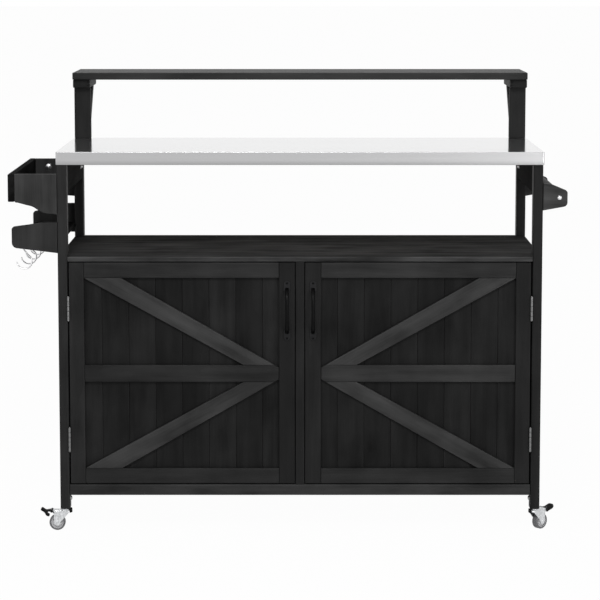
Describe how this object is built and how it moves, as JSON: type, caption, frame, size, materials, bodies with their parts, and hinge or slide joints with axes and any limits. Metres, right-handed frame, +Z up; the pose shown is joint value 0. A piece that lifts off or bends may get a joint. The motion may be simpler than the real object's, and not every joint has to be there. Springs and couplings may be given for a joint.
{
  "type": "serving cart",
  "caption": "Black wooden serving cart on casters: steel worktop, raised rear shelf, open shelf over a cabinet with braced plank doors, spice rack with hooks, towel rail.",
  "frame": {"origin": "on the floor under the centre of the whole cart's outer box, racks and upper shelf included", "axes": "+X to the right seen from the front, along the worktop; +Y from the doors to the back; +Z up"},
  "size_m": [1.3816, 0.703, 1.1285],
  "materials": {
    "frame_wood": "black stained softwood, satin, grain showing",
    "plank_wood": "black stained softwood planks, matt",
    "worktop_steel": "brushed stainless steel sheet",
    "bare_board": "untreated board, hidden in the worktop",
    "hinge_steel": "nickel plated steel",
    "catch_steel": "plated steel with a magnet inside",
    "pull_iron": "black powder coat, satin",
    "hook_chrome": "bright plated wire",
    "caster_zinc": "bright zinc plate",
    "wheel_grey": "grey moulded wheel with a darker tread",
    "pedal_black": "black moulded pedal"
  },
  "bodies": {
    "cart": {"back_panel": "plank_wood", "bottom_rail": "frame_wood", "cabinet_floor": "plank_wood", "cabinet_top": "frame_wood", "centre_post": "frame_wood", "front_left_leg": "frame_wood", "front_right_leg": "frame_wood", "hook_row": "hook_chrome", "left_apron": "frame_wood", "left_catch": "catch_steel", "left_lower_hinge_leg_leaf": "hinge_steel", "left_shelf_bracket": "frame_wood", "left_side_panel": "frame_wood", "left_upper_hinge_leg_leaf": "hinge_steel", "left_upright": "frame_wood", "lower_rack_board": "frame_wood", "lower_rack_front_end": "frame_wood", "lower_rack_rear_end": "frame_wood", "rear_left_leg": "frame_wood", "rear_right_leg": "frame_wood", "right_apron": "frame_wood", "right_catch": "catch_steel", "right_lower_hinge_leg_leaf": "hinge_steel", "right_shelf_bracket": "frame_wood", "right_side_panel": "frame_wood", "right_upper_hinge_leg_leaf": "hinge_steel", "right_upright": "frame_wood", "spice_rack_fascia": "frame_wood", "spice_rack_front_end": "frame_wood", "spice_rack_rear_end": "frame_wood", "spice_rack_tray": "frame_wood", "steel_worktop": "worktop_steel", "towel_bar": "frame_wood", "towel_front_bracket": "frame_wood", "towel_rear_bracket": "frame_wood", "upper_shelf": "frame_wood", "worktop_board": "bare_board"},
    "left_door": {"left_door_frame": "frame_wood", "left_door_planks": "plank_wood", "left_door_braces": "frame_wood", "left_pull": "pull_iron", "left_upper_hinge_door_leaf": "hinge_steel", "left_lower_hinge_door_leaf": "hinge_steel"},
    "right_door": {"right_door_frame": "frame_wood", "right_door_planks": "plank_wood", "right_door_braces": "frame_wood", "right_pull": "pull_iron", "right_upper_hinge_door_leaf": "hinge_steel", "right_lower_hinge_door_leaf": "hinge_steel"},
    "front_left_caster": {"front_left_fork": "caster_zinc"},
    "front_left_roller": {"front_left_wheel": "wheel_grey"},
    "front_left_brake": {"front_left_brake_pedal": "pedal_black"},
    "front_right_caster": {"front_right_fork": "caster_zinc"},
    "front_right_roller": {"front_right_wheel": "wheel_grey"},
    "front_right_brake": {"front_right_brake_pedal": "pedal_black"},
    "rear_left_caster": {"rear_left_fork": "caster_zinc"},
    "rear_left_roller": {"rear_left_wheel": "wheel_grey"},
    "rear_right_caster": {"rear_right_fork": "caster_zinc"},
    "rear_right_roller": {"rear_right_wheel": "wheel_grey"}
  },
  "joints": [
    {"name": "left_door_hinge", "type": "hinge", "parent": "cart", "child": "left_door", "pos_m": [-0.54425, -0.328, 0.40035], "axis": [0, 0, -1], "range_deg": [0, 170]},
    {"name": "right_door_hinge", "type": "hinge", "parent": "cart", "child": "right_door", "pos_m": [0.60475, -0.328, 0.40035], "axis": [0, 0, 1], "range_deg": [0, 170]},
    {"name": "front_left_swivel", "type": "hinge", "parent": "cart", "child": "front_left_caster", "pos_m": [-0.55775, -0.3055, 0.0565], "axis": [0, 0, 1], "continuous": true},
    {"name": "front_left_roll", "type": "hinge", "parent": "front_left_caster", "child": "front_left_roller", "pos_m": [-0.57915, -0.3055, 0.02], "axis": [0, -1, 0], "continuous": true},
    {"name": "front_left_brake_press", "type": "hinge", "parent": "front_left_caster", "child": "front_left_brake", "pos_m": [-0.59305, -0.3055, 0.0495], "axis": [0, -1, 0], "range_deg": [0, 12]},
    {"name": "front_right_swivel", "type": "hinge", "parent": "cart", "child": "front_right_caster", "pos_m": [0.61825, -0.3055, 0.0565], "axis": [0, 0, 1], "continuous": true},
    {"name": "front_right_roll", "type": "hinge", "parent": "front_right_caster", "child": "front_right_roller", "pos_m": [0.63415, -0.29118, 0.02], "axis": [-0.6691, 0.7431, 0], "continuous": true},
    {"name": "front_right_brake_press", "type": "hinge", "parent": "front_right_caster", "child": "front_right_brake", "pos_m": [0.64448, -0.28188, 0.0495], "axis": [-0.6691, 0.7431, 0], "range_deg": [0, 12]},
    {"name": "rear_left_swivel", "type": "hinge", "parent": "cart", "child": "rear_left_caster", "pos_m": [-0.55775, 0.1565, 0.0565], "axis": [0, 0, 1], "continuous": true},
    {"name": "rear_left_roll", "type": "hinge", "parent": "rear_left_caster", "child": "rear_left_roller", "pos_m": [-0.57628, 0.1672, 0.02], "axis": [-0.5, -0.866, 0], "continuous": true},
    {"name": "rear_right_swivel", "type": "hinge", "parent": "cart", "child": "rear_right_caster", "pos_m": [0.61825, 0.1565, 0.0565], "axis": [0, 0, 1], "continuous": true},
    {"name": "rear_right_roll", "type": "hinge", "parent": "rear_right_caster", "child": "rear_right_roller", "pos_m": [0.63836, 0.16382, 0.02], "axis": [-0.342, 0.9397, 0], "continuous": true}
  ]
}
